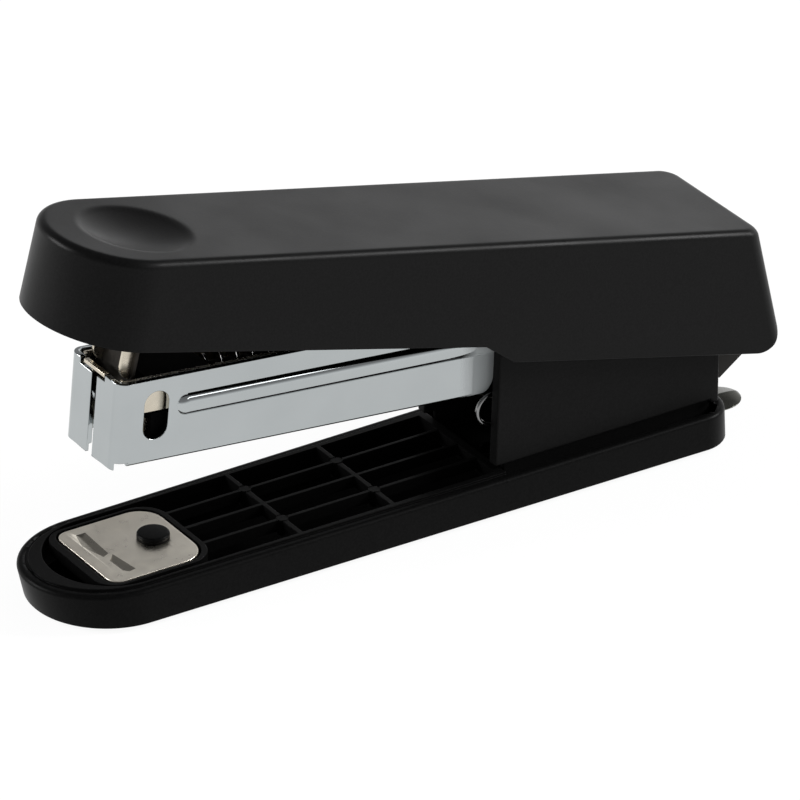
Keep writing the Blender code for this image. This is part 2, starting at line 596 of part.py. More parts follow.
def make_driver():
    """Driver blade with the folded carrier behind it."""
    blade = box("driver_blade", (-BLADE_HALF, -72.3, -8.2), (BLADE_HALF, -71.9, 7.9), HANDLE, NICKEL)
    carrier = box("driver_carrier", (-BLADE_HALF, -71.6, -5.0), (BLADE_HALF, -69.4, 7.9), HANDLE, NICKEL)
    inside = box("cut_carrier_inside", (-2.9, -70.9, -9), (2.9, -69, 9), HANDLE)
    legs = box("cut_carrier_legs", (-2.9, -75, -9), (2.9, -69, -0.5), HANDLE)
    combine(carrier, "DIFFERENCE", inside, legs)
    for name, part in (("blade", blade), ("carrier", carrier)):
        hole = rod(f"cut_{name}_hole", (0, -80, 3.5), (0, -60, 3.5), 1.2, HANDLE)
        combine(part, "DIFFERENCE", hole)
    profile = [(0, -70.2), (1.7, -70.2), (1.7, -70.6), (0.9, -70.6), (0.9, -72.6), (1.7, -72.6),
               (1.7, -73.0), (0, -73.0)]
    place = Matrix.Translation((0, 0, 3.5)) @ ALONG_Y
    turned("driver_rivet", profile, place, HANDLE, NICKEL)


def make_handle_spring():
    """Leaf spring between the handle frame and the magazine."""
    upper = [(-45.0, 7.9), (-37.0, 7.9), (-28.0, 5.0), (-21.5, 2.75), (-19.0, 2.75), (-17.5, 3.5)]
    lower = [(y, z - 0.4) for y, z in reversed(upper)]
    leaf = prism("handle_spring", lower + upper, "x", -4.2, 4.2, HANDLE, DARK_STEEL)
    hole = rod("cut_leaf_hole", (0, SPRING_RIVET_Y, 5), (0, SPRING_RIVET_Y, 12), 1.1, HANDLE)
    combine(leaf, "DIFFERENCE", hole)
    profile = [(0, 9.3), (0.8, 9.3), (0.8, 7.2), (1.7, 7.2), (1.7, 6.8), (0, 6.8)]
    turned("handle_spring_rivet", profile, Matrix.Translation((0, SPRING_RIVET_Y, 0)), HANDLE, NICKEL)


def make_cap_screws():
    """Screws that hold the frame to the cap's roof."""
    for name, y in zip(("cap_screw_front", "cap_screw_rear"), CAP_SCREW_YS):
        tip = screw_tip(y)
        profile = [(0, tip), (0.8, tip), (0.8, 7.9), (2.0, 7.9), (2.0, 7.2), (0, 7.2)]
        turned(name, profile, Matrix.Translation((0, y, 0)), HANDLE, DARK_STEEL)


clear_scene()
PARTS = make_collection("Stapler")
CUTTERS = make_collection("Cutters")
BASE = make_empty("base_origin", (0, 0, 0), 0)
MAGAZINE = make_empty("magazine_pivot", (0, PIVOT_Y, PIVOT_Z), MAGAZINE_TILT)
HANDLE = make_empty("handle_pivot", (0, PIVOT_Y, PIVOT_Z), HANDLE_TILT)
ALONG_Y = Matrix.Rotation(-math.pi / 2, 4, "X")
ALONG_ROD = Matrix.Translation((0, 0, ROD_Z)) @ ALONG_Y

BLACK_PLASTIC = make_material("black_plastic", (0.03, 0.03, 0.031), 0.45, 0.0)
CHROME = make_material("chrome", (0.8, 0.82, 0.83), 0.12, 1.0)
NICKEL = make_material("nickel_steel", (0.62, 0.58, 0.52), 0.3, 1.0)
DARK_STEEL = make_material("dark_steel", (0.2, 0.2, 0.19), 0.45, 0.9)

make_base_shell()
make_bottom_plate()
make_base_screws()
make_anvil()
make_hinge_bracket()
make_staple_remover()
make_pivot()
make_return_spring()
make_magazine_channel()
make_staple_guide()
make_staple_rail()
make_magazine_frame()
make_pusher_group()
make_top_cap()
make_handle_frame()
make_driver()
make_handle_spring()
make_cap_screws()
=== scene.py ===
"""Looks of the compact desk stapler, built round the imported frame.

All sizes are in millimetres and become metres when a mesh is made.  Y runs from the nose, which is
negative, to the rear, and Z runs up.  Pieces of the base are modelled in world axes.  Pieces of the
magazine and the handle are modelled level round the pivot pin, then turned to their rest tilt before
they ride on their body.
"""

import json
import math

import bmesh
import bpy
from mathutils import Matrix, Vector

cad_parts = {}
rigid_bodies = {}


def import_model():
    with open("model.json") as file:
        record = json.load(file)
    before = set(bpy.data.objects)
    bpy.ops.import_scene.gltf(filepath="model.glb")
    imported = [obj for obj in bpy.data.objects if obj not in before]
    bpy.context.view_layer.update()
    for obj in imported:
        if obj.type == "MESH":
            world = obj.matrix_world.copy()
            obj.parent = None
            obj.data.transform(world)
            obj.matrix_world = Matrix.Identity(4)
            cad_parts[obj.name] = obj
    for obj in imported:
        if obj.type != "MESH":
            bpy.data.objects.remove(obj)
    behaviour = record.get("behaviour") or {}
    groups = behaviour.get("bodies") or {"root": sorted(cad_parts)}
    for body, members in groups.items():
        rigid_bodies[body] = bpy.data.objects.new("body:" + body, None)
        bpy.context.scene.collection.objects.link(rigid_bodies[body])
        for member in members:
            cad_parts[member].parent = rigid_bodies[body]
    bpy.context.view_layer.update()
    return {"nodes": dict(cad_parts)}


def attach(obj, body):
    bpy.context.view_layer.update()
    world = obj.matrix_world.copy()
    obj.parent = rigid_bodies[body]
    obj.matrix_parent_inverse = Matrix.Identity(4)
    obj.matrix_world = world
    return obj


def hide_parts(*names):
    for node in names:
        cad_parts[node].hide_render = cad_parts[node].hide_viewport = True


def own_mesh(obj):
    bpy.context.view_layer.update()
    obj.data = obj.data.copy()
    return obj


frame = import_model()

MM = 0.001
# The pin that both hinges turn on, and how far each body is tilted at rest, in degrees
PIVOT = Vector((0, 38.0, 14.0))
TILTS = {"magazine": 5.6, "handle": 14.0}
# Clearance between pieces that fit into each other
GAP = 0.3
BEVEL_SEGMENTS = 3

# Base
NOSE_Y, REAR_Y = -43.1, 43.35
NOSE_CENTRE_Y, NOSE_RAKE = -33.8, 1.05
FRONT_HALF, REAR_HALF = 9.4, 10.2
REAR_CORNER = 4.3
SHELL_BOTTOM, RIM_TOP, SHELL_TOP = 0.5, 4.7, 4.92
SHELL_WALL, SHELL_ROOF = 1.4, 1.4
RIM_INSET, RIM_FILLET = 0.15, 0.55
GROOVE_INSET, GROOVE_WIDTH, GROOVE_DEPTH = 0.95, 0.3, 0.3
LAND_HALF = 7.7
OPENING_NOSE_Y, OPENING_NOSE_DEPTH, OPENING_REAR_Y = -33.6, 7.3, -26.8
OPENING_LOW, OPENING_HIGH = SHELL_TOP - SHELL_ROOF - 1, SHELL_TOP + 1
RING_HALF, RING_Y = 7.1, (-38.2, -23.9)
RIB_WIDTH = 0.5
RIB_XS = (-3.9, 0.0, 3.9)
CELL_ROWS = ((-27.0, -14.1), (-13.5, -2.1), (-1.5, 11.6))
BOSS_RADIUS, BOSS_RISE = 0.7, 0.03

# Anvil
ANVIL_HALF_X = 6.4
ANVIL_Y = (-36.9, -24.8)
ANVIL_Z = (4.2, 4.9)
STUD_Y, STUD_RADIUS, STUD_TOP = -28.0, 1.85, 5.7
STUD_SHANK, STUD_HOLE = 1.2, 1.5
CREASE_DEPTHS = (0.25, 0.45)

# Hinge bracket and staple remover
BRACKET_HALF, BRACKET_INSIDE = 8.0, 6.6
PIN_BORE, PIN_BORE_END = 1.8, 7.4
TONGUE_RIVET_Y = 35.0
FOOT_HOLE_YS, FOOT_HOLE = (16.5, 26.5, TONGUE_RIVET_Y), 1.3

# Magazine
CHANNEL_HALF, SHEET = 5.3, 0.7
CHANNEL_FRONT, CHANNEL_REAR = -74.0, -25.0
FLAP_BOTTOM, CHANNEL_FLOOR, CHANNEL_TOP = -3.4, -3.08, 6.9
CHANNEL_CORNER, BEND_RADIUS, HEEL_RADIUS = 1.35, 0.5, 2.0
BEAD_X, BEAD_Z = 4.9, 3.25
BEAD_DEPTH, BEAD_HEIGHT = 1.05, 1.4
BEAD_FRONT = -65.2
MOUTH_REAR, FLAP_REAR, BEND_FRONT = -70.2, -72.9, -72.4
SLOT_X, NOTCH_X, NOTCH_BOTTOM = (-0.5, 0.6), (-3.0, 2.2), 6.15
RELIEF_Y, RELIEF_TOP = (-73.65, -72.25), -2.55
WINDOW_Y, WINDOW_Z, WINDOW_CORNER = (-70.6, -67.5), (-0.25, 5.45), 1.5
CHANNEL_RIVET_Y, CHANNEL_RIVET_HOLE = -35, 1.2
LINER_REAR, LINER_BOTTOM, LINER_SHEET = -38.5, 2.6, 0.3
# Reach of the cutters past the magazine's sides, front, underside and top
PAST_SIDE, PAST_FRONT, PAST_BELOW, PAST_ABOVE = 8, -76, -5, 10

# Pusher spring
COIL_Y, COIL_Z, COIL_RADIUS, COIL_WIRE = (-60.5, -32.5), 4.2, 1.5, 0.2
COIL_TURNS, COIL_POINTS = 14, 20

# Cap
CAP_NOSE_Y, CAP_NOSE_DEPTH = -83.4, 8.7
CAP_NOSE_CENTRE = CAP_NOSE_Y + CAP_NOSE_DEPTH
CAP_HALF_TOP, CAP_SIDE_FLARE, CAP_REAR_WIDENING = 9.2, 0.05, 0.15
CAP_REAR_TOP, CAP_REAR_FLARE, CAP_REAR_CORNER = 5.5, 0.477, 2.2
CAP_ROOF_Z, CAP_ROOF_SLOPE = 13.59, 0.0195
CAP_DEPTH, CAP_WALL, CAP_CEILING = 17.5, 1.4, 2.8
CAP_FILLET, CAP_FILLET_STEPS, CAP_ROOF_STEPS = 0.9, 8, 26
CAP_SCREW_YS, CAP_SCREW_HOLE = (-56.0, -8.0), 1.1
DISH_Y, DISH_RADIUS, DISH_DEPTH = -72.7, 6.5, 1.1
DISH_REACH, DISH_BLEND = 1.05, 0.18

# Driver
BLADE_HALF, BLADE_Y, BLADE_Z = 3.6, (-71.7, -71.3), (-8.2, 7.9)
FLANGE_X, FLANGE_Y, FLANGE_RADIUS = (2.56, 3.0), (-73.0, -70.9), 1.5
FLANGE_BEND_Z = -2.7
WEB_Y, WEB_BOTTOM = (-71.75, -71.2), -1.2
BAR_X, BAR_HALF_HEIGHT, BAR_SHEET = (-1.6, 2.7), 0.6, 0.4

# Camera
CAMERA_AZIMUTH, CAMERA_ELEVATION = 57.3, 28.5
CAMERA_LENS, CAMERA_DISTANCE, CAMERA_RISE = 341.8, 844, 13.33
CAMERA_AIM = Vector((4.85, 1.0, 0.6))


# --- Shaping helpers ---------------------------------------------------------------------------

def work_object(name, mesh):
    """An object that is only used to shape a piece."""
    obj = bpy.data.objects.new(name, mesh)
    SHAPING.objects.link(obj)
    return obj


def arc(cx, cy, rx, ry, start, end, steps):
    """Points of an elliptic arc from one angle to another, in degrees."""
    angles = [math.radians(start + (end - start) * i / steps) for i in range(steps + 1)]
    return [(cx + rx * math.cos(a), cy + ry * math.sin(a)) for a in angles]


def mirrored(points):
    """The same points on the other side of X = 0, in reverse order."""
    return [(-point[0], *point[1:]) for point in reversed(points)]


def rounded_box(x0, x1, y0, y1, rear, front=None, steps=8):
    """Outline of a rectangle with round corners, counter-clockwise; rear and front are radii."""
    front = rear if front is None else front
    return (arc(x1 - rear, y1 - rear, rear, rear, 0, 90, steps)
            + arc(x0 + rear, y1 - rear, rear, rear, 90, 180, steps)
            + arc(x0 + front, y0 + front, front, front, 180, 270, steps)
            + arc(x1 - front, y0 + front, front, front, 270, 360, steps))


def prism(name, outlines, axis, low, high):
    """Extrude a flat outline, given with any holes, from low to high along an axis."""
    if isinstance(outlines[0][0], (int, float)):
        outlines = [outlines]
    curve = bpy.data.curves.new(name, "CURVE")
    curve.dimensions = "2D"
    curve.fill_mode = "BOTH"
    curve.extrude = (high - low) / 2 * MM
    for outline in outlines:
        spline = curve.splines.new("POLY")
        spline.points.add(len(outline) - 1)
        spline.use_cyclic_u = True
        for point, (u, v) in zip(spline.points, outline):
            point.co = (u * MM, v * MM, 0, 1)
    mesh = curve_to_mesh(name, curve)
    middle = (high + low) / 2 * MM
    # Each matrix turns the outline so that its extrusion runs along one axis
    places = {"x": Matrix(((0, 0, 1, middle), (1, 0, 0, 0), (0, 1, 0, 0), (0, 0, 0, 1))),
              "y": Matrix(((1, 0, 0, 0), (0, 0, -1, middle), (0, 1, 0, 0), (0, 0, 0, 1))),
              "z": Matrix.Translation((0, 0, middle))}
    mesh.transform(places[axis])
    return work_object(name, mesh)


def curve_to_mesh(name, curve):
    """Turn a curve into a welded mesh."""
    holder = bpy.data.objects.new(name + "_curve", curve)
    SHAPING.objects.link(holder)
    evaluated = holder.evaluated_get(bpy.context.evaluated_depsgraph_get())
    mesh = bpy.data.meshes.new_from_object(evaluated)
    bpy.data.objects.remove(holder)
    work = bmesh.new()
    work.from_mesh(mesh)
    bmesh.ops.remove_doubles(work, verts=work.verts, dist=0.000001)
    bmesh.ops.recalc_face_normals(work, faces=work.faces)
    work.to_mesh(mesh)
    work.free()
    return mesh


def box(name, low, high):
    """Box between two opposite corners."""
    mesh = bpy.data.meshes.new(name)
    work = bmesh.new()
    bmesh.ops.create_cube(work, size=1.0)
    size = Vector(high) - Vector(low)
    middle = (Vector(high) + Vector(low)) / 2
    bmesh.ops.transform(work, verts=work.verts,
                        matrix=Matrix.Translation(middle * MM) @ Matrix.Diagonal((*(size * MM), 1)))
    work.to_mesh(mesh)
    work.free()
    return work_object(name, mesh)


def rod(name, start, end, radius, sides=40):
    """Round bar between two points."""
    start, end = Vector(start) * MM, Vector(end) * MM
    mesh = bpy.data.meshes.new(name)
    work = bmesh.new()
    bmesh.ops.create_cone(work, cap_ends=True, segments=sides, radius1=radius * MM,
                          radius2=radius * MM, depth=(end - start).length)
    turn = (end - start).to_track_quat("Z", "Y").to_matrix().to_4x4()
    bmesh.ops.transform(work, verts=work.verts, matrix=Matrix.Translation((start + end) / 2) @ turn)
    work.to_mesh(mesh)
    work.free()
    return work_object(name, mesh)


def turned(name, profile, place, sides):
    """Turned piece: (radius, height) pairs from top to bottom, placed by a matrix in mm."""
    turns = [2 * math.pi * i / sides for i in range(sides)]
    rings = [[place @ Vector((r * math.cos(a), r * math.sin(a), z)) for a in turns] for r, z in profile]
    return loft(name, rings)


def loft(name, rings, capped=True):
    """Closed solid through rings of equal length; the last ring may close on itself instead of a cap."""
    mesh = bpy.data.meshes.new(name)
    work = bmesh.new()
    loops = [[work.verts.new(Vector(point) * MM) for point in ring] for ring in rings]
    for lower, upper in zip(loops, loops[1:]):
        for i in range(len(lower)):
            j = (i + 1) % len(lower)
            work.faces.new((lower[i], lower[j], upper[j], upper[i]))
    work.faces.new(list(reversed(loops[0])))
    if capped:
        work.faces.new(loops[-1])
    bmesh.ops.remove_doubles(work, verts=work.verts, dist=0.000002)
    bmesh.ops.dissolve_degenerate(work, edges=work.edges, dist=0.000001)
    bmesh.ops.recalc_face_normals(work, faces=work.faces)
    work.to_mesh(mesh)
    work.free()
    return work_object(name, mesh)


def wire(name, points, radius):
    """Round wire through close points."""
    curve = bpy.data.curves.new(name, "CURVE")
    curve.dimensions = "3D"
    curve.bevel_depth = radius * MM
    curve.bevel_resolution = 4
    curve.use_fill_caps = True
    spline = curve.splines.new("POLY")
    spline.points.add(len(points) - 1)
    for point, co in zip(spline.points, points):
        point.co = (*(Vector(co) * MM), 1)
    return work_object(name, curve_to_mesh(name, curve))


def combine(target, operation, *others):
    """Cut the target by, or join it to, the other objects.

    A cutter runs past the piece on its open sides, so its numbers there aren't sizes of anything.
    """
    for other in others:
        modifier = target.modifiers.new(other.name, "BOOLEAN")
        modifier.operation = operation
        modifier.object = other
        modifier.solver = "EXACT"
    return target


def mark_edges(mesh, angle, plain):
    """Give a bevel weight to every sharp edge, apart from those that plain(middle in mm) leaves out."""
    work = bmesh.new()
    work.from_mesh(mesh)
    weight = work.edges.layers.float.new("bevel_weight_edge")
    for edge in work.edges:
        if len(edge.link_faces) == 2 and edge.calc_face_angle() > math.radians(angle):
            middle = (edge.verts[0].co + edge.verts[1].co) / 2 / MM
            edge[weight] = 0.0 if plain and plain(middle) else 1.0
    work.to_mesh(mesh)
    work.free()


def finish_piece(name, shape, body, materials, stands_for, edge, angle=35, plain=None):
    """Make a shown piece from a shaped object: round its edges, place it and let it ride.

    Edges sharper than the angle, in degrees, are rounded, apart from those that plain leaves out.
    """
    evaluated = shape.evaluated_get(bpy.context.evaluated_depsgraph_get())
    mesh = bpy.data.meshes.new_from_object(evaluated)
    mesh.name = name
    mark_edges(mesh, angle, plain)
    mesh.materials.clear()
    for material in materials:
        mesh.materials.append(material)
    mesh.shade_smooth()
    if body in TILTS:
        mesh.transform(Matrix.Translation(PIVOT * MM) @ Matrix.Rotation(-math.radians(TILTS[body]), 4, "X"))
    obj = bpy.data.objects.new(name, mesh)
    bpy.context.scene.collection.objects.link(obj)
    if edge:
        bevel = obj.modifiers.new("Round edges", "BEVEL")
        bevel.width = edge * MM
        bevel.segments = BEVEL_SEGMENTS
        bevel.limit_method = "WEIGHT"
        bevel.use_clamp_overlap = False
    normals = obj.modifiers.new("Flat faces", "WEIGHTED_NORMAL")
    normals.keep_sharp = True
    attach(obj, body)
    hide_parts(*stands_for)
    return obj


# --- Materials ---------------------------------------------------------------------------------

class Nodes:
    """A material's node tree and its shader, with short calls for the nodes that it needs."""

    def __init__(self, name):
        self.material = bpy.data.materials.new(name)
        self.material.use_nodes = True
        self.tree = self.material.node_tree
        self.shader = self.tree.nodes["Principled BSDF"]
        self.coordinates = self.tree.nodes.new("ShaderNodeTexCoord")

    def noise(self, scale, detail, stretch=(1, 1, 1)):
        """Noise that stays with the piece when it moves."""
        mapping = self.tree.nodes.new("ShaderNodeMapping")
        mapping.inputs["Scale"].default_value = stretch
        self.tree.links.new(self.coordinates.outputs["Object"], mapping.inputs["Vector"])
        noise = self.tree.nodes.new("ShaderNodeTexNoise")
        noise.inputs["Scale"].default_value = scale
        noise.inputs["Detail"].default_value = detail
        self.tree.links.new(mapping.outputs["Vector"], noise.inputs["Vector"])
        return noise.outputs["Fac"]

    def ramp(self, factor, low, high, start=0.35, end=0.65):
        """Blend from one colour to another as the factor goes from start to end."""
        ramp = self.tree.nodes.new("ShaderNodeValToRGB")
        ramp.color_ramp.elements[0].position = start
        ramp.color_ramp.elements[0].color = (*low, 1)
        ramp.color_ramp.elements[1].position = end
        ramp.color_ramp.elements[1].color = (*high, 1)
        self.tree.links.new(factor, ramp.inputs["Fac"])
        return ramp.outputs["Color"]

    def map_range(self, factor, start, end, low, high):
        """Change from low to high as the factor goes from start to end."""
        node = self.tree.nodes.new("ShaderNodeMapRange")
        limits = {"From Min": start, "From Max": end, "To Min": low, "To Max": high}
        for socket, value in limits.items():
            node.inputs[socket].default_value = value
        self.tree.links.new(factor, node.inputs["Value"])
        return node.outputs["Result"]

    def span(self, factor, low, high):
        """Spread the middle of a noise from low to high."""
        return self.map_range(factor, 0.3, 0.7, low, high)

    def along(self, axis, start, end, low, high):
        """Change from low to high between two places on an axis, in mm."""
        split = self.tree.nodes.new("ShaderNodeSeparateXYZ")
        self.tree.links.new(self.coordinates.outputs["Object"], split.inputs["Vector"])
        return self.map_range(split.outputs[axis], start * MM, end * MM, low, high)

    def bump(self, height, strength, distance, below=None):
        """Relief of a distance in mm, perhaps on top of another one."""
        bump = self.tree.nodes.new("ShaderNodeBump")
        bump.inputs["Strength"].default_value = strength
        bump.inputs["Distance"].default_value = distance * MM
        self.tree.links.new(height, bump.inputs["Height"])
        if below is not None:
            self.tree.links.new(below, bump.inputs["Normal"])
        return bump.outputs["Normal"]

    def set(self, socket, value):
        """Set one of the shader's inputs to a value, or link it to a node's output."""
        if isinstance(value, bpy.types.NodeSocket):
            self.tree.links.new(value, self.shader.inputs[socket])
        else:
            self.shader.inputs[socket].default_value = value


def moulded_plastic(name, dark, light, roughness, specular):
    """Satin black plastic with a fine moulded grain and slightly uneven gloss."""
    nodes = Nodes(name)
    fine = nodes.noise(4200, 3)
    broad = nodes.noise(90, 4)
    nodes.set("Base Color", nodes.ramp(fine, (dark,) * 3, (light,) * 3))
    nodes.set("Roughness", nodes.span(broad, roughness - 0.04, roughness + 0.05))
    nodes.set("Specular IOR Level", specular)
    soft = nodes.bump(nodes.noise(1300, 2), 0.125, 0.02)
    nodes.set("Normal", nodes.bump(fine, 0.5, 0.012, soft))
    return nodes.material


def plated_steel(name, dark, light, roughness, stretch=(1, 1, 1), dull=None):
    """Plated or bare sheet metal with rolling marks, slight smears and perhaps a dull end.

    The dull end is given by the two places along Y, in mm, between which the plating turns matt.
    """
    nodes = Nodes(name)
    smear = nodes.noise(110, 5)
    marks = nodes.noise(900, 3, stretch)
    nodes.set("Base Color", nodes.ramp(smear, dark, light, 0.3, 0.7))
    nodes.set("Roughness", nodes.span(marks, roughness * 0.75, roughness * 1.25))
    nodes.set("Metallic", nodes.along("Y", *dull, 1.0, 0.0) if dull else 1.0)
    nodes.set("Normal", nodes.bump(nodes.noise(3000, 2, stretch), 0.03, 0.001))
    return nodes.material


# --- Base --------------------------------------------------------------------------------------

def base_outline(inset, rake=0.0):
    """Plan outline of the base, with an elliptic nose, tapered sides and round rear corners."""
    nose_depth = NOSE_CENTRE_Y - (NOSE_Y + inset - rake)
    radius = max(REAR_CORNER - inset, 1.5)
    corner_x, corner_y = REAR_HALF - inset - radius, REAR_Y - inset - radius
    return (arc(0, NOSE_CENTRE_Y, FRONT_HALF - inset, nose_depth, 180, 360, 60)
            + arc(corner_x, corner_y, radius, radius, 0, 90, 10)
            + arc(-corner_x, corner_y, radius, radius, 90, 180, 10))


def raked_shell():
    """Body of the shell: its raked nose, rounded rim, groove and raised land, hollow underneath."""
    levels = [(SHELL_BOTTOM, 0.25, 0.0), (SHELL_BOTTOM + 0.08, 0.1, 0.02), (SHELL_BOTTOM + 0.25, 0.0, 0.05)]
    fillet_steps = 6
    for step in range(fillet_steps + 1):
        turn = math.radians(90 * step / fillet_steps)
        levels.append((RIM_TOP - RIM_FILLET * (1 - math.sin(turn)),
                       RIM_INSET + RIM_FILLET * (1 - math.cos(turn)), NOSE_RAKE))
    land_inset = RIM_INSET + GROOVE_INSET + GROOVE_WIDTH / 2
    levels += [(RIM_TOP, land_inset, NOSE_RAKE), (SHELL_TOP, land_inset, NOSE_RAKE)]
    rings = [[(x, y, z) for x, y in base_outline(inset, rake)] for z, inset, rake in levels]
    hollow = prism("shape_shell_hollow", base_outline(SHELL_WALL + RIM_INSET), "z", -1,
                   SHELL_TOP - SHELL_ROOF)
    outer = base_outline(RIM_INSET + GROOVE_INSET, NOSE_RAKE)
    inner = base_outline(RIM_INSET + GROOVE_INSET + GROOVE_WIDTH, NOSE_RAKE)
    groove = prism("shape_rim_groove", [outer, inner], "z", SHELL_TOP - GROOVE_DEPTH, 8)
    return combine(loft("shape_shell", rings), "DIFFERENCE", hollow, groove)


def make_rib_grid(shell, ring):
    """Cut the cells between the ribs up to the anvil's ring, and raise bosses where ribs cross."""
    edges = [-LAND_HALF, *RIB_XS, LAND_HALF]
    for row, (y0, y1) in enumerate(CELL_ROWS):
        for column, (x0, x1) in enumerate(zip(edges, edges[1:])):
            left = x0 if column == 0 else x0 + RIB_WIDTH / 2
            right = x1 if column == len(edges) - 2 else x1 - RIB_WIDTH / 2
            cell = box(f"shape_cell_{row}_{column}", (left, y0, OPENING_LOW), (right, y1, OPENING_HIGH))
            if row == 0:
                combine(cell, "DIFFERENCE", ring)
            combine(shell, "DIFFERENCE", cell)
    for row in (0, 1):
        y = (CELL_ROWS[row][1] + CELL_ROWS[row + 1][0]) / 2
        for x in (RIB_XS[0], RIB_XS[2]):
            boss = rod(f"shape_rib_boss_{row}_{x:.0f}", (x, y, OPENING_LOW + 0.5),
                       (x, y, SHELL_TOP + BOSS_RISE), BOSS_RADIUS, 20)
            combine(shell, "UNION", boss)


def make_base_shell():
    """Top shell with a rounded rim, a fine groove inside it, the rib grid and the anvil's ring."""
    shell = raked_shell()
    front = arc(0, OPENING_NOSE_Y, LAND_HALF, OPENING_NOSE_DEPTH, 180, 360, 40)
    front += [(LAND_HALF, OPENING_REAR_Y), (-LAND_HALF, OPENING_REAR_Y)]
    opening = prism("shape_front_opening", front, "z", OPENING_LOW, OPENING_HIGH)
    ring = prism("shape_anvil_ring", rounded_box(-RING_HALF, RING_HALF, *RING_Y, 3.3, 2.6), "z", 0, 8)
    combine(opening, "DIFFERENCE", ring)
    combine(shell, "DIFFERENCE", opening)
    make_rib_grid(shell, ring)

    seat_half = ANVIL_HALF_X + GAP
    seat = rounded_box(-seat_half, seat_half, ANVIL_Y[0] - GAP, ANVIL_Y[1] + GAP, 3.2, 1.8)
    seat_cut = prism("shape_anvil_seat", seat, "z", ANVIL_Z[0] - 0.1, SHELL_TOP + 1)
    stud_cut = rod("shape_stud_hole", (0, STUD_Y, 0), (0, STUD_Y, 8), STUD_HOLE)
    rear_side = [(8.8, 12.7), (9.1, 40.5), (8.1, 41.5)]
    rear_cut = prism("shape_rear_opening", rear_side + mirrored(rear_side), "z", OPENING_LOW, OPENING_HIGH)
    slot = box("shape_tongue_slot", (-3.2, 38, -1), (3.2, 46, 1.7))
    combine(shell, "DIFFERENCE", seat_cut, stud_cut, rear_cut, slot)
    obj = finish_piece("base_shell_moulding", shell, "base", [PLASTIC_BASE, PAINTED_SHADE_BLACK], ["base_shell"],
                       edge=0.08)
    paint_recess_shade(obj)


def paint_recess_shade(obj):
    """Paint shade on the walls inside the openings, with the darker black of painted shade."""
    half_x, nose_depth, rear_y, below_top = 9.15, 8.9, 41.6, 0.35
    for face in obj.data.polygons:
        centre = face.center / MM
        nose = max(0.0, NOSE_CENTRE_Y - centre.y) / nose_depth
        inside = math.hypot(centre.x / half_x, nose) < 1 and centre.y < rear_y
        if inside and centre.z < SHELL_TOP - below_top and face.normal.z < 0.5:
            face.material_index = 1


def in_groove(place):
    """Whether a place in mm belongs to the pressed grooves of the anvil."""
    return abs(place.x) < 5.3 and -35.8 < place.y < -32.8 and place.z > ANVIL_Z[0] + 0.1


def make_anvil_plate():
    """Clinch plate with two pressed grooves, one longer than the other, and the stud's hole."""
    outline = rounded_box(-ANVIL_HALF_X, ANVIL_HALF_X, *ANVIL_Y, 3.0, 1.5)
    plate = prism("shape_anvil", outline, "z", *ANVIL_Z)
    combine(plate, "DIFFERENCE", rod("shape_anvil_hole", (0, STUD_Y, 0), (0, STUD_Y, 8), STUD_HOLE))
    long_edge = [(-5.0, -34.9), (-2.5, -35.55), (0.75, -34.75), (0.3, -33.9), (-5.0, -33.7)]
    short_edge = [(1.75, -34.6), (4.4, -34.5), (4.95, -34.0), (4.8, -33.1), (0.7, -33.6)]
    creases = (((-4.75, -34.25), (-0.2, -34.6)), ((1.2, -34.1), (4.6, -33.9)))
    for index, (edge, crease) in enumerate(zip((long_edge, short_edge), creases)):
        combine(plate, "DIFFERENCE", pressed_groove(f"shape_groove_{index}", edge, crease))
    obj = finish_piece("anvil_pressed_plate", plate, "base", [ANVIL_METAL, GROOVE_SHADE_METAL], ["anvil_plate"],
                       edge=0.08, angle=20, plain=in_groove)
    # The grooves' sloping faces take a darker nickel, which is painted shade in the creases
    for face in obj.data.polygons:
        if in_groove(face.center / MM) and 0.3 < face.normal.z < 0.999:
            face.material_index = 1


def make_anvil_stud():
    """Black stud with a rounded edge and a slightly domed top."""
    under, foot, dome, rounding = ANVIL_Z[1] + 0.05, 2.6, 0.05, 0.28
    profile = [(0.0, STUD_TOP + dome), (STUD_RADIUS - 0.6, STUD_TOP + 0.03)]
    profile += arc(STUD_RADIUS - rounding, STUD_TOP - rounding, rounding, rounding, 90, 0, 6)
    profile += [(STUD_RADIUS, under), (STUD_SHANK, under), (STUD_SHANK, foot), (0, foot)]
    stud = turned("shape_stud", profile, Matrix.Translation((0, STUD_Y, 0)), 48)
    finish_piece("anvil_stud_moulding", stud, "base", [PLASTIC_BASE], ["anvil_stud"], edge=0)


def pressed_groove(name, edge, crease):
    """Cutter whose sloping sides run down from an edge on the plate's top to a crease line."""
    top = ANVIL_Z[1]
    mesh = bpy.data.meshes.new(name)
    work = bmesh.new()
    upper = [work.verts.new(Vector((x, y, top + 0.3)) * MM) for x, y in edge]
    rim = [work.verts.new(Vector((x, y, top)) * MM) for x, y in edge]
    low = [work.verts.new(Vector((x, y, top - depth)) * MM)
           for (x, y), depth in zip(crease, CREASE_DEPTHS)]
    for i in range(len(edge)):
        j = (i + 1) % len(edge)
        work.faces.new((upper[i], upper[j], rim[j], rim[i]))
    work.faces.new(upper)
    nearest = [min((0, 1), key=lambda k: (rim[i].co - low[k].co).length) for i in range(len(edge))]
    for i in range(len(edge)):
        j = (i + 1) % len(edge)
        if nearest[i] == nearest[j]:
            work.faces.new((rim[i], rim[j], low[nearest[i]]))
        else:
            work.faces.new((rim[i], rim[j], low[nearest[j]], low[nearest[i]]))
    bmesh.ops.recalc_face_normals(work, faces=work.faces)
    work.to_mesh(mesh)
    work.free()
    return work_object(name, mesh)


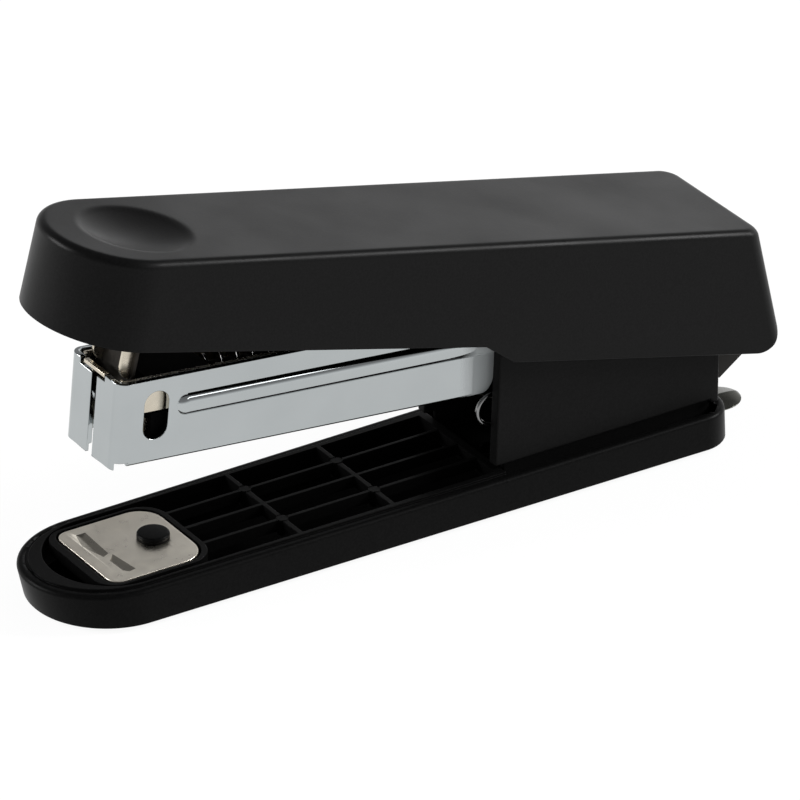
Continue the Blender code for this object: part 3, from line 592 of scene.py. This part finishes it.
def make_hinge_bracket():
    """Black fork round the pivot, with a foot that stands in the shell."""
    side = [(11.6, 5.6), (40.6, 5.6), (40.9, 5.1), (41.8, 5.1), (41.8, 18.0), (40.0, 20.0), (28.0, 21.0),
            (12.2, 21.0)]
    bracket = prism("shape_bracket", side, "x", -BRACKET_HALF, BRACKET_HALF)
    foot = box("shape_bracket_foot", (-7.2, 13.1, 1.6), (7.2, 41.1, 6.0))
    combine(bracket, "UNION", foot)
    channel = box("shape_bracket_channel", (-BRACKET_INSIDE, 0, 3.0), (BRACKET_INSIDE, 50, 30))
    bore = rod("shape_bracket_pin", (-PIN_BORE_END, PIVOT.y, PIVOT.z), (PIN_BORE_END, PIVOT.y, PIVOT.z),
               PIN_BORE)
    combine(bracket, "DIFFERENCE", channel, bore)
    for index, y in enumerate(FOOT_HOLE_YS):
        combine(bracket, "DIFFERENCE", rod(f"shape_bracket_hole_{index}", (0, y, 0), (0, y, 5), FOOT_HOLE))
    finish_piece("hinge_bracket_moulding", bracket, "base", [PLASTIC_BRACKET], ["hinge_bracket"], edge=0.22)


def make_staple_remover():
    """Pointed steel tongue with a shallow centre ridge."""
    half, root, shoulder, point, point_half = 2.8, 31.0, 46.9, 3.2, 0.12
    under, top, ridge = 0.15, 0.27, 0.5
    turns = [math.radians(degrees) for degrees in range(10, 90, 10)]
    stations = [(root, half), (shoulder, half)]
    stations += [(shoulder + point * math.sin(turn), half * math.cos(turn)) for turn in turns]
    stations.append((shoulder + point, point_half))
    rings = []
    for y, width in stations:
        crest = top + ridge * width / half
        rings.append([(-width, y, under), (width, y, under), (width, y, top), (0, y, crest),
                      (-width, y, top)])
    tongue = loft("shape_tongue", rings)
    hole = rod("shape_tongue_hole", (0, TONGUE_RIVET_Y, 0), (0, TONGUE_RIVET_Y, 3), FOOT_HOLE)
    combine(tongue, "DIFFERENCE", hole)
    finish_piece("staple_remover_tongue", tongue, "base", [SHADED_TONGUE_STEEL], ["staple_remover"], edge=0.05,
                 angle=12)


def make_return_spring():
    """Bright wire hairpin that lifts the magazine; its two arms bend in front and join at the rear."""
    bend_y, bend_z, bend_radius, side_x = 12.3, 11.85, 1.8, 5.95
    wire_radius, bend_steps = 0.27, 24
    half = [(3.9, 19.5, 13.0), (4.4, 18.2, 13.2), (5.0, 17.0, 13.3), (5.6, 15.6, 13.5),
            (side_x, 14.2, bend_z + bend_radius)]
    for step in range(bend_steps + 1):
        angle = math.radians(90 + 150 * step / bend_steps)
        half.append((side_x, bend_y + bend_radius * math.cos(angle),
                     bend_z + bend_radius * math.sin(angle)))
    half += [(side_x, 22.0, 4.4), (5.8, 22.9, 3.9), (5.4, 23.6, 3.7), (4.6, 24.2, 3.6)]
    spring = wire("shape_return_spring", half + mirrored(half), wire_radius)
    obj = finish_piece("return_spring_wire", spring, "base", [SHADED_SPRING_WIRE], ["return_spring"], edge=0)
    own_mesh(obj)


# --- Magazine ----------------------------------------------------------------------------------

def channel_plan(inset, rear):
    """Plan outline of the magazine channel, moved inwards by an inset and cut off at the rear."""
    half = CHANNEL_HALF - inset
    radius = CHANNEL_CORNER - inset
    corner_y = CHANNEL_FRONT + inset + radius
    return (arc(half - radius, corner_y, radius, radius, 270, 360, 10) + [(half, rear), (-half, rear)]
            + arc(radius - half, corner_y, radius, radius, 180, 270, 10))


def side_bead(side):
    """Bead along one side of the channel, which ends in a round nose."""
    nose, sides = 1.4, 48
    nose_turns = [math.radians(degrees) for degrees in range(0, 90, 9)]
    stations = [(CHANNEL_REAR, 1.0)] + [(BEAD_FRONT - nose * math.sin(t), math.cos(t)) for t in nose_turns]
    turns = [2 * math.pi * i / sides for i in range(sides)]
    rings = [[(side * BEAD_X + BEAD_DEPTH * size * math.cos(a), y,
               BEAD_Z + BEAD_HEIGHT * size * math.sin(a)) for a in turns] for y, size in stations]
    return loft(f"shape_bead_{side}", rings)


def on_bead(place):
    """Whether a place in mm is where a bead leaves the channel's side."""
    return (abs(place.x) > CHANNEL_HALF - 0.1 and abs(place.z - BEAD_Z) < BEAD_HEIGHT + 0.2
            and place.y > BEAD_FRONT - 1.8)


def bottom_bend(side):
    """Cutter that rounds the bottom edge on one side of the channel, behind the front flaps."""
    centre_x, centre_z = CHANNEL_HALF - BEND_RADIUS, CHANNEL_FLOOR + BEND_RADIUS
    past_x, past_z = CHANNEL_HALF + 0.2, -3.3
    bend = [(past_x, past_z), (past_x, centre_z)]
    bend += arc(centre_x, centre_z, BEND_RADIUS, BEND_RADIUS, 0, -90, 6) + [(centre_x, past_z)]
    return prism(f"shape_bottom_bend_{side}", [(side * x, z) for x, z in bend], "y",
                 BEND_FRONT, CHANNEL_REAR + 5)


def make_magazine_channel():
    """Plated sheet channel with its two front flaps, window and side beads."""
    channel = prism("shape_channel", channel_plan(0, CHANNEL_REAR), "z", FLAP_BOTTOM, CHANNEL_TOP)
    for side in (-1, 1):
        combine(channel, "UNION", side_bead(side))
        combine(channel, "DIFFERENCE", bottom_bend(side))
    hollow = prism("shape_channel_hollow", channel_plan(SHEET, 0), "z", CHANNEL_FLOOR + SHEET, PAST_ABOVE)
    mouth = prism("shape_mouth", channel_plan(SHEET, MOUTH_REAR), "z", PAST_BELOW, 0)
    under = box("shape_under", (-PAST_SIDE, FLAP_REAR, PAST_BELOW),
                (PAST_SIDE, CHANNEL_REAR + 5, CHANNEL_FLOOR))
    behind_front = CHANNEL_FRONT + 1
    slot = box("shape_front_slot", (SLOT_X[0], PAST_FRONT, PAST_BELOW),
               (SLOT_X[1], behind_front, PAST_ABOVE))
    notch = box("shape_lip_notch", (NOTCH_X[0], PAST_FRONT, NOTCH_BOTTOM),
                (NOTCH_X[1], behind_front, PAST_ABOVE))
    relief = box("shape_bend_relief", (-PAST_SIDE, RELIEF_Y[0], PAST_BELOW),
                 (PAST_SIDE, RELIEF_Y[1], RELIEF_TOP))
    window = prism("shape_window", rounded_box(*WINDOW_Y, *WINDOW_Z, WINDOW_CORNER, steps=10), "x",
                   -PAST_SIDE, PAST_SIDE)
    heel_y, heel_z = CHANNEL_REAR - HEEL_RADIUS, CHANNEL_FLOOR + HEEL_RADIUS
    heel = [(CHANNEL_REAR + 1, PAST_BELOW), (CHANNEL_REAR + 1, heel_z - 0.02)]
    heel += arc(heel_y, heel_z, HEEL_RADIUS, HEEL_RADIUS, 0, -90, 10) + [(heel_y, PAST_BELOW)]
    heel_cut = prism("shape_heel", heel, "x", -PAST_SIDE, PAST_SIDE)
    rivet = rod("shape_channel_rivet", (0, CHANNEL_RIVET_Y, PAST_BELOW), (0, CHANNEL_RIVET_Y, 0),
                CHANNEL_RIVET_HOLE)
    combine(channel, "DIFFERENCE", hollow, mouth, under, slot, relief, notch, window, heel_cut, rivet)
    finish_piece("magazine_channel_sheet", channel, "magazine", [CHROME], ["magazine_channel"], edge=0.1,
                 plain=on_bead)


def make_staple_guide():
    """Beige plated liner with the lip that hooks over the channel's front."""
    inset = SHEET + GAP
    guide = prism("shape_guide", channel_plan(inset, LINER_REAR), "z", LINER_BOTTOM, CHANNEL_TOP - 0.1)
    hollow = prism("shape_guide_hollow", channel_plan(inset + LINER_SHEET, -30), "z", 0, PAST_ABOVE)
    front = box("shape_guide_front", (-3.6, PAST_FRONT, 0), (3.6, -70.9, 8))
    lip = box("shape_guide_lip", (-2.35, CHANNEL_FRONT + 0.1, 6.5), (1.95, -73.3, CHANNEL_TOP + 0.05))
    combine(guide, "DIFFERENCE", hollow, front)
    combine(guide, "UNION", lip)
    finish_piece("staple_guide_liner", guide, "magazine", [BEIGE_METAL], ["staple_guide"], edge=0.05)


def make_pusher_spring():
    """Coil spring round the guide rod, at its rest length and with a mesh of its own."""
    start, end = COIL_Y
    count = COIL_TURNS * COIL_POINTS
    coil = []
    for step in range(count + 1):
        angle = 2 * math.pi * step / COIL_POINTS
        coil.append((COIL_RADIUS * math.cos(angle), start + (end - start) * step / count,
                     COIL_Z + COIL_RADIUS * math.sin(angle)))
    spring = wire("shape_pusher_spring", coil, COIL_WIRE)
    obj = finish_piece("pusher_spring_coil", spring, "magazine", [SHADED_SPRING_WIRE], ["pusher_spring"], edge=0)
    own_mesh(obj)


# --- Handle ------------------------------------------------------------------------------------

def cap_roof(y):
    """Height of the cap's roof, which rises slightly to the rear."""
    return CAP_ROOF_Z + CAP_ROOF_SLOPE * y


def cap_outline(inset, drop):
    """Plan outline of the cap at a drop below its roof, with close points round the thumb dish."""
    half = CAP_HALF_TOP + CAP_SIDE_FLARE * drop - inset
    rear_half = half + CAP_REAR_WIDENING
    rear_y = CAP_REAR_TOP + CAP_REAR_FLARE * drop - inset
    radius = max(CAP_REAR_CORNER - inset, 0.8)
    side = [CAP_NOSE_CENTRE + 0.45 * i for i in range(1, 26)] + [-60.0, -52.0, -40.0, -25.0, -10.0]
    length = rear_y - radius - CAP_NOSE_CENTRE
    right = [(half + (rear_half - half) * (y - CAP_NOSE_CENTRE) / length, y) for y in side]
    points = arc(0, CAP_NOSE_CENTRE, half, CAP_NOSE_DEPTH - inset, 180, 360, 90) + right
    points += arc(rear_half - radius, rear_y - radius, radius, radius, 0, 90, 10)
    points += arc(radius - rear_half, rear_y - radius, radius, radius, 90, 180, 10)
    return points + mirrored(right)


def dish(x, y):
    """Depth of the thumb dish at a point of the roof."""
    reach = math.hypot(x, y - DISH_Y) / DISH_RADIUS
    depth = DISH_DEPTH * max(0.0, 1 - reach ** 2)
    blend = min(1.0, max(0.0, (DISH_REACH - reach) / DISH_BLEND))
    return depth * blend * blend * (3 - 2 * blend)


def cap_rings():
    """Rings of the cap's outside, from the foot of its walls over the soft edge to the roof's middle."""
    rings = [[(x, y, cap_roof(y) - CAP_DEPTH) for x, y in cap_outline(0, CAP_DEPTH)]]
    for step in range(CAP_FILLET_STEPS + 1):
        turn = math.radians(90 * step / CAP_FILLET_STEPS)
        inset, drop = CAP_FILLET * (1 - math.cos(turn)), CAP_FILLET * (1 - math.sin(turn))
        rings.append([(x, y, cap_roof(y) - drop) for x, y in cap_outline(inset, drop)])
    edge = rings[-1]
    spine_rear = CAP_REAR_TOP - 8.0
    for step in range(1, CAP_ROOF_STEPS + 1):
        share = step / CAP_ROOF_STEPS
        ring = []
        for x, y, _ in edge:
            middle = min(max(y, CAP_NOSE_CENTRE), spine_rear)
            px, py = x * (1 - share), y + (middle - y) * share
            ring.append((px, py, cap_roof(py) - dish(px, py)))
        rings.append(ring)
    return rings


def make_top_cap():
    """Moulded cap with a soft top edge, a thumb dish and a slanted rear wall."""
    cap = loft("shape_cap", cap_rings(), capped=False)
    levels = ((CAP_WALL, CAP_DEPTH + 1.0), (CAP_WALL, CAP_CEILING + 1.0), (CAP_WALL + 1.0, CAP_CEILING))
    inner = [[(x, y, cap_roof(y) - drop) for x, y in cap_outline(inset, drop)] for inset, drop in levels]
    hollow = loft("shape_cap_hollow", inner)
    below = [(-90, -20), (25, -20), (25, 2.5), (10.9, 2.5)]
    below += arc(8.1, 1.6, 2.8, 2.7, 0, -90, 14)
    below += [(-25.8, -0.95), (-30.0, 0.99), (-84.0, 2.05), (-90, 2.1)]
    skirt = prism("shape_cap_skirt", below, "x", -20, 20)
    notch = box("shape_cap_notch", (-8.3, 2, -10), (8.3, 20, 2.2))
    combine(cap, "DIFFERENCE", skirt, hollow, notch)
    for index, y in enumerate(CAP_SCREW_YS):
        screw = rod(f"shape_cap_screw_{index}", (0, y, 5), (0, y, cap_roof(y) - 1.6), CAP_SCREW_HOLE)
        combine(cap, "DIFFERENCE", screw)
    obj = finish_piece("top_cap_moulding", cap, "handle", [PLASTIC_CAP, PAINTED_SHADE_BLACK], ["top_cap"], edge=0.15,
                       angle=42)
    paint_ceiling_shade(obj)


def paint_ceiling_shade(obj):
    """Paint shade under the cap's roof, with the darker black of painted shade."""
    half_x, lowest = 9.0, 20
    for face in obj.data.polygons:
        centre = face.center / MM
        if abs(centre.x) < half_x and face.normal.z < -0.7 and centre.z > lowest:
            face.material_index = 1


def make_driver_blade():
    """Plate that drives the staple, with the hole for its rivet; its dark steel is painted shade from the
    cap.
    """
    blade = box("shape_blade", (-BLADE_HALF, BLADE_Y[0], BLADE_Z[0]), (BLADE_HALF, BLADE_Y[1], BLADE_Z[1]))
    combine(blade, "DIFFERENCE", rod("shape_blade_hole", (0, -80, 3.5), (0, -60, 3.5), 1.2))
    finish_piece("driver_blade_plate", blade, "handle", [SHADED_BLADE_STEEL], ["driver_blade"], edge=0.05)


def make_driver_carrier():
    """Two bright flanges, joined by a web round the blade's upper half and by a bar across their front."""
    inside, outside = FLANGE_X
    front_y, rear_y = FLANGE_Y
    top, bottom = BLADE_Z[1], FLANGE_BEND_Z - FLANGE_RADIUS
    side = [(rear_y, top), (front_y, top), (front_y, FLANGE_BEND_Z)]
    side += arc(front_y + FLANGE_RADIUS, FLANGE_BEND_Z, FLANGE_RADIUS, FLANGE_RADIUS, 180, 270, 8)
    side.append((rear_y, bottom))
    carrier = prism("shape_carrier", side, "x", -outside, outside)
    front = box("shape_carrier_front", (-inside, -75, -9), (inside, WEB_Y[0], 9))
    rear = box("shape_carrier_rear", (-inside, WEB_Y[1], -9), (inside, -69, 9))
    below = box("shape_carrier_below", (-inside, -75, -9), (inside, -69, WEB_BOTTOM))
    bar = box("shape_carrier_bar", (BAR_X[0], front_y, -BAR_HALF_HEIGHT),
              (BAR_X[1], front_y + BAR_SHEET, BAR_HALF_HEIGHT))
    combine(carrier, "DIFFERENCE", front, rear, below)
    combine(carrier, "UNION", bar)
    finish_piece("driver_carrier_fold", carrier, "handle", [BEIGE_METAL], ["driver_carrier"], edge=0.08)


# --- Carried-over CAD nodes --------------------------------------------------------------------

def dress(names, material, edge):
    """Give CAD nodes a material and edges that are rounded by a width in mm."""
    for name in names:
        obj = frame["nodes"][name]
        for slot in obj.material_slots:
            slot.material = material
        bevel = obj.modifiers.new("Round edges", "BEVEL")
        bevel.width = edge * MM
        bevel.segments = 2
        bevel.limit_method = "ANGLE"
        bevel.angle_limit = math.radians(40)
        bevel.use_clamp_overlap = True


# --- Stage -------------------------------------------------------------------------------------

def make_camera():
    """Long lens that looks at the stapler's left side and nose from above."""
    azimuth, elevation = math.radians(CAMERA_AZIMUTH), math.radians(CAMERA_ELEVATION)
    back = Vector((math.sin(azimuth) * math.cos(elevation), -math.cos(azimuth) * math.cos(elevation),
                   math.sin(elevation)))
    right = Vector((math.cos(azimuth), math.sin(azimuth), 0))
    up = back.cross(right)
    data = bpy.data.cameras.new("camera")
    data.lens = CAMERA_LENS
    data.sensor_width = 36
    data.clip_end = 50
    camera = bpy.data.objects.new("camera", data)
    bpy.context.scene.collection.objects.link(camera)
    place = Matrix((right, up, back)).transposed().to_4x4()
    place.translation = (CAMERA_AIM + back * CAMERA_DISTANCE + up * CAMERA_RISE) * MM
    camera.matrix_world = place
    bpy.context.scene.camera = camera


def make_floor():
    """Wide floor that shines almost white and still takes a soft shadow."""
    mesh = bpy.data.meshes.new("floor")
    reach = 6.0
    mesh.from_pydata([(-reach, -reach, 0), (reach, -reach, 0), (reach, reach, 0), (-reach, reach, 0)], [],
                     [(0, 1, 2, 3)])
    floor = bpy.data.objects.new("floor", mesh)
    bpy.context.scene.collection.objects.link(floor)
    nodes = Nodes("pale_floor")
    nodes.set("Base Color", nodes.ramp(nodes.noise(3, 2), (0.09, 0.09, 0.09), (0.11, 0.11, 0.11)))
    nodes.set("Roughness", 0.9)
    nodes.set("Specular IOR Level", 0.0)
    nodes.set("Emission Color", (1.0, 1.0, 1.0, 1.0))
    nodes.set("Emission Strength", 0.93)
    mesh.materials.append(nodes.material)


def make_light(name, place, size, power):
    """Soft rectangular light that faces the stapler; its place and size are in metres."""
    data = bpy.data.lights.new(name, "AREA")
    data.shape = "RECTANGLE"
    data.size, data.size_y = size
    data.energy = power
    light = bpy.data.objects.new(name, data)
    bpy.context.scene.collection.objects.link(light)
    light.location = place
    light.rotation_euler = Vector(place).to_track_quat("Z", "Y").to_euler()


def make_world():
    """Soft studio surround, bright at the horizon and darkest overhead."""
    world = bpy.data.worlds.new("studio")
    bpy.context.scene.world = world
    world.use_nodes = True
    tree = world.node_tree
    coordinates = tree.nodes.new("ShaderNodeTexCoord")
    split = tree.nodes.new("ShaderNodeSeparateXYZ")
    ramp = tree.nodes.new("ShaderNodeValToRGB")
    tree.links.new(coordinates.outputs["Generated"], split.inputs["Vector"])
    tree.links.new(split.outputs["Z"], ramp.inputs["Fac"])
    tree.links.new(ramp.outputs["Color"], tree.nodes["Background"].inputs["Color"])
    stops = ramp.color_ramp.elements
    stops[0].position, stops[0].color = 0.0, (0.9, 0.91, 0.92, 1)
    stops[1].position, stops[1].color = 0.95, (0.22, 0.22, 0.225, 1)
    shade = stops.new(0.22)
    shade.color = (0.32, 0.32, 0.325, 1)


# --- Build -------------------------------------------------------------------------------------

SHAPING = bpy.data.collections.new("Shaping")
bpy.context.scene.collection.children.link(SHAPING)
bpy.context.scene.view_settings.view_transform = "Standard"

make_camera()
make_floor()
make_world()
make_light("far_softbox", (-0.27, 0.43, 0.13), (0.45, 0.36), 0.4)
make_light("right_softbox", (0.38, 0.88, 0.52), (0.4, 0.4), 11)
make_light("right_strip", (0.70, 0.54, 0.52), (0.8, 0.09), 0.9)
make_light("nose_softbox", (-0.40, -0.60, 0.30), (0.4, 0.3), 4)

PLASTIC_CAP = moulded_plastic("black_plastic_cap", 0.003, 0.005, 0.36, 0.09)
PLASTIC_BASE = moulded_plastic("black_plastic_base", 0.002, 0.004, 0.36, 0.045)
PLASTIC_BRACKET = moulded_plastic("black_plastic_bracket", 0.003, 0.005, 0.5, 0.06)
# Darker, rougher black that is painted shade in recesses, under the cap's roof and on the bottom plate and
# pusher
PAINTED_SHADE_BLACK = moulded_plastic("black_plastic_painted_shade", 0.001, 0.002, 0.8, 0.03)
CHROME = plated_steel("chrome_sheet", (0.40, 0.425, 0.43), (0.43, 0.455, 0.46), 0.08, dull=(8.5, 10.5))
BEIGE_METAL = plated_steel("nickel_beige", (0.52, 0.47, 0.38), (0.60, 0.55, 0.46), 0.28)
ANVIL_METAL = plated_steel("nickel_anvil", (0.75, 0.70, 0.60), (0.84, 0.79, 0.69), 0.34)
# Steel of the tongue, darkened as painted shade
SHADED_TONGUE_STEEL = plated_steel("tongue_steel_painted_shade", (0.055, 0.055, 0.047), (0.085, 0.085, 0.074), 0.22)
# Bright spring wire, darkened as painted shade so that mostly its highlights show
SHADED_SPRING_WIRE = plated_steel("spring_wire", (0.16, 0.16, 0.16), (0.22, 0.22, 0.22), 0.12)
# Darker nickel that is painted shade on the anvil grooves' slopes
GROOVE_SHADE_METAL = plated_steel("nickel_groove_painted_shade", (0.24, 0.225, 0.19), (0.30, 0.28, 0.24), 0.3)
# Near-black steel that is painted shade on the blade under the cap
SHADED_BLADE_STEEL = plated_steel("blade_steel_painted_shade", (0.020, 0.018, 0.016), (0.032, 0.029, 0.026), 0.45)
# Steel darkened as painted shade, for the frames, anchor, pin, rod, spring leaf and screws that sit in
# shade
SHADED_STEEL = plated_steel("steel_painted_shade", (0.016, 0.0155, 0.0145), (0.026, 0.025, 0.024), 0.4, (1, 0.1, 1))

make_base_shell()
make_anvil_plate()
make_anvil_stud()
make_hinge_bracket()
make_staple_remover()
make_return_spring()
make_magazine_channel()
make_staple_guide()
make_pusher_spring()
make_top_cap()
make_driver_blade()
make_driver_carrier()

# The bottom plate, a black cover, and the pusher sit in shade, so they take the black of painted shade
dress(["bottom_plate"], PAINTED_SHADE_BLACK, 0.15)
dress(["pusher"], PAINTED_SHADE_BLACK, 0.1)
# These steel parts sit in shade inside the cap, magazine and base, so they take the steel with painted
# shade
dress(["base_screw_front", "base_screw_rear", "magazine_frame", "rod_anchor", "handle_frame",
       "handle_spring", "cap_screw_front", "cap_screw_rear"], SHADED_STEEL, 0.08)
dress(["remover_rivet", "pivot_sleeve", "staple_rail", "channel_rivet", "driver_rivet",
       "handle_spring_rivet"], BEIGE_METAL, 0.06)
dress(["pivot_pin", "guide_rod"], SHADED_STEEL, 0.1)

for shape in list(SHAPING.objects):
    bpy.data.objects.remove(shape)
bpy.data.collections.remove(SHAPING)
